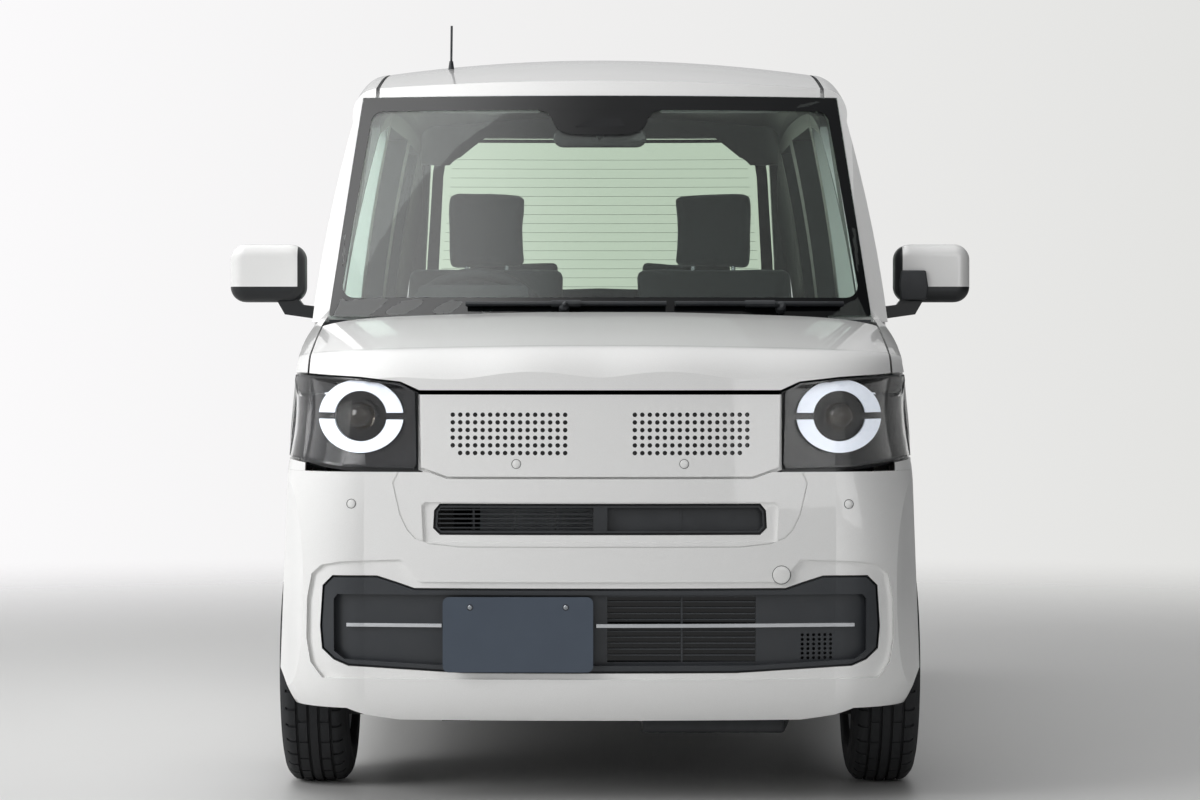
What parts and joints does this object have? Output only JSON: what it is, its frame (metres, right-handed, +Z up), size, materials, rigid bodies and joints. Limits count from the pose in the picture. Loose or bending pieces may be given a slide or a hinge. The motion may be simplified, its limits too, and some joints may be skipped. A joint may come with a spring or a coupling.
{
  "type": "kei car",
  "caption": "Tall kei-class family car with a perforated grille panel, hinged front doors, bonnet and tailgate, steering front wheels and an open cabin with seats.",
  "frame": {"origin": "on the floor, halfway along and across the body", "axes": "+Z up, -Y towards the nose, +X towards the car's left side"},
  "size_m": [1.816, 3.3929, 1.8454],
  "materials": {
    "body_paint": "pearl white clear-coated paint",
    "clear_glass": "laminated clear glass",
    "tinted_glass": "privacy glass",
    "clear_lens": "clear polycarbonate",
    "lamp_diffuser": "frosted white lamp diffuser",
    "trim_chrome": "bright plated trim",
    "red_lens": "red acrylic",
    "dark_plastic": "moulded black plastic",
    "interior_plastic": "grained interior plastic",
    "plate_metal": "blank pressed plate",
    "seat_fabric": "woven seat fabric",
    "steel": "primed and sealed steel",
    "cast_iron": "cast iron",
    "tank_steel": "coated steel",
    "exhaust_steel": "exhaust steel",
    "engine_alloy": "cast alloy",
    "tyre_rubber": "road tyre",
    "wheel_cover": "silver wheel cover"
  },
  "bodies": {
    "root": {"antenna": "dark_plastic", "cowl_panel": "dark_plastic", "dashboard": "interior_plastic", "door_hinges": "steel", "engine_block": "engine_alloy", "exhaust": "exhaust_steel", "floor_pan": "steel", "front_bumper": "body_paint", "front_frame": "steel", "front_plate": "plate_metal", "front_seats": "seat_fabric", "front_subframe": "steel", "front_wings": "body_paint", "fuel_tank": "tank_steel", "grille_backing": "dark_plastic", "grille_panel": "body_paint", "grille_trim": "trim_chrome", "headlamp_housings": "dark_plastic", "headlamp_lenses": "clear_lens", "lamp_projectors": "clear_lens", "lamp_rings": "lamp_diffuser", "lower_grille": "dark_plastic", "rear_axle": "steel", "rear_bumper": "body_paint", "rear_seat": "seat_fabric", "rear_side_glass": "tinted_glass", "roof_panel": "body_paint", "side_frames": "body_paint", "sliding_doors": "body_paint", "steering_column": "interior_plastic", "tail_lamps": "red_lens", "upper_intake": "dark_plastic", "wheel_liners": "dark_plastic", "windscreen": "clear_glass"},
    "bonnet": {"bonnet": "body_paint"},
    "tailgate": {"tailgate": "body_paint", "tailgate_glass": "tinted_glass", "rear_plate": "plate_metal"},
    "front_door_left": {"front_door_left": "body_paint", "front_door_glass_left": "clear_glass", "door_mirror_left": "body_paint"},
    "front_door_right": {"front_door_right": "body_paint", "front_door_glass_right": "clear_glass", "door_mirror_right": "body_paint"},
    "knuckle_left": {"knuckle_left": "cast_iron"},
    "knuckle_right": {"knuckle_right": "cast_iron"},
    "wheel_front_left": {"tyre_front_left": "tyre_rubber", "rim_front_left": "wheel_cover"},
    "wheel_front_right": {"tyre_front_right": "tyre_rubber", "rim_front_right": "wheel_cover"},
    "wheel_rear_left": {"tyre_rear_left": "tyre_rubber", "rim_rear_left": "wheel_cover"},
    "wheel_rear_right": {"tyre_rear_right": "tyre_rubber", "rim_rear_right": "wheel_cover"},
    "steering_wheel": {"steering_wheel": "interior_plastic"}
  },
  "joints": [
    {"name": "bonnet_hinge", "type": "hinge", "parent": "root", "child": "bonnet", "pos_m": [0, -1.0975, 1.04], "axis": [-1, 0, 0], "range_deg": [0, 42]},
    {"name": "tailgate_hinge", "type": "hinge", "parent": "root", "child": "tailgate", "pos_m": [0, 1.5555, 1.735], "axis": [1, 0, 0], "range_deg": [0, 85]},
    {"name": "front_door_left_hinge", "type": "hinge", "parent": "root", "child": "front_door_left", "pos_m": [0.7115, -0.7675, 0.7], "axis": [0, 0, -1], "range_deg": [0, 62]},
    {"name": "front_door_right_hinge", "type": "hinge", "parent": "root", "child": "front_door_right", "pos_m": [-0.7115, -0.7675, 0.7], "axis": [0, 0, 1], "range_deg": [0, 62]},
    {"name": "steer_left", "type": "hinge", "parent": "root", "child": "knuckle_left", "pos_m": [0.60345, -1.1375, 0.2785], "axis": [-0.1508, 0, 0.9886], "range_deg": [-35, 35]},
    {"name": "steer_right", "type": "hinge", "parent": "root", "child": "knuckle_right", "pos_m": [-0.60345, -1.1375, 0.2785], "axis": [0.1508, 0, 0.9886], "range_deg": [-35, 35]},
    {"name": "steering_wheel_turn", "type": "hinge", "parent": "root", "child": "steering_wheel", "pos_m": [-0.31, -0.4875, 1.035], "axis": [0, 0.8829, 0.4695], "range_deg": [-490, 490]},
    {"name": "roll_front_left", "type": "hinge", "parent": "knuckle_left", "child": "wheel_front_left", "pos_m": [0.6525, -1.1375, 0.2785], "axis": [1, 0, 0], "continuous": true},
    {"name": "roll_front_right", "type": "hinge", "parent": "knuckle_right", "child": "wheel_front_right", "pos_m": [-0.6525, -1.1375, 0.2785], "axis": [1, 0, 0], "continuous": true},
    {"name": "roll_rear_left", "type": "hinge", "parent": "root", "child": "wheel_rear_left", "pos_m": [0.6525, 1.3825, 0.2785], "axis": [1, 0, 0], "continuous": true},
    {"name": "roll_rear_right", "type": "hinge", "parent": "root", "child": "wheel_rear_right", "pos_m": [-0.6525, 1.3825, 0.2785], "axis": [1, 0, 0], "continuous": true}
  ],
  "couplings": [
    {"joint": "steer_left", "follows": "steer_right", "ratio": 1},
    {"joint": "steering_wheel_turn", "follows": "steer_right", "ratio": 14}
  ]
}
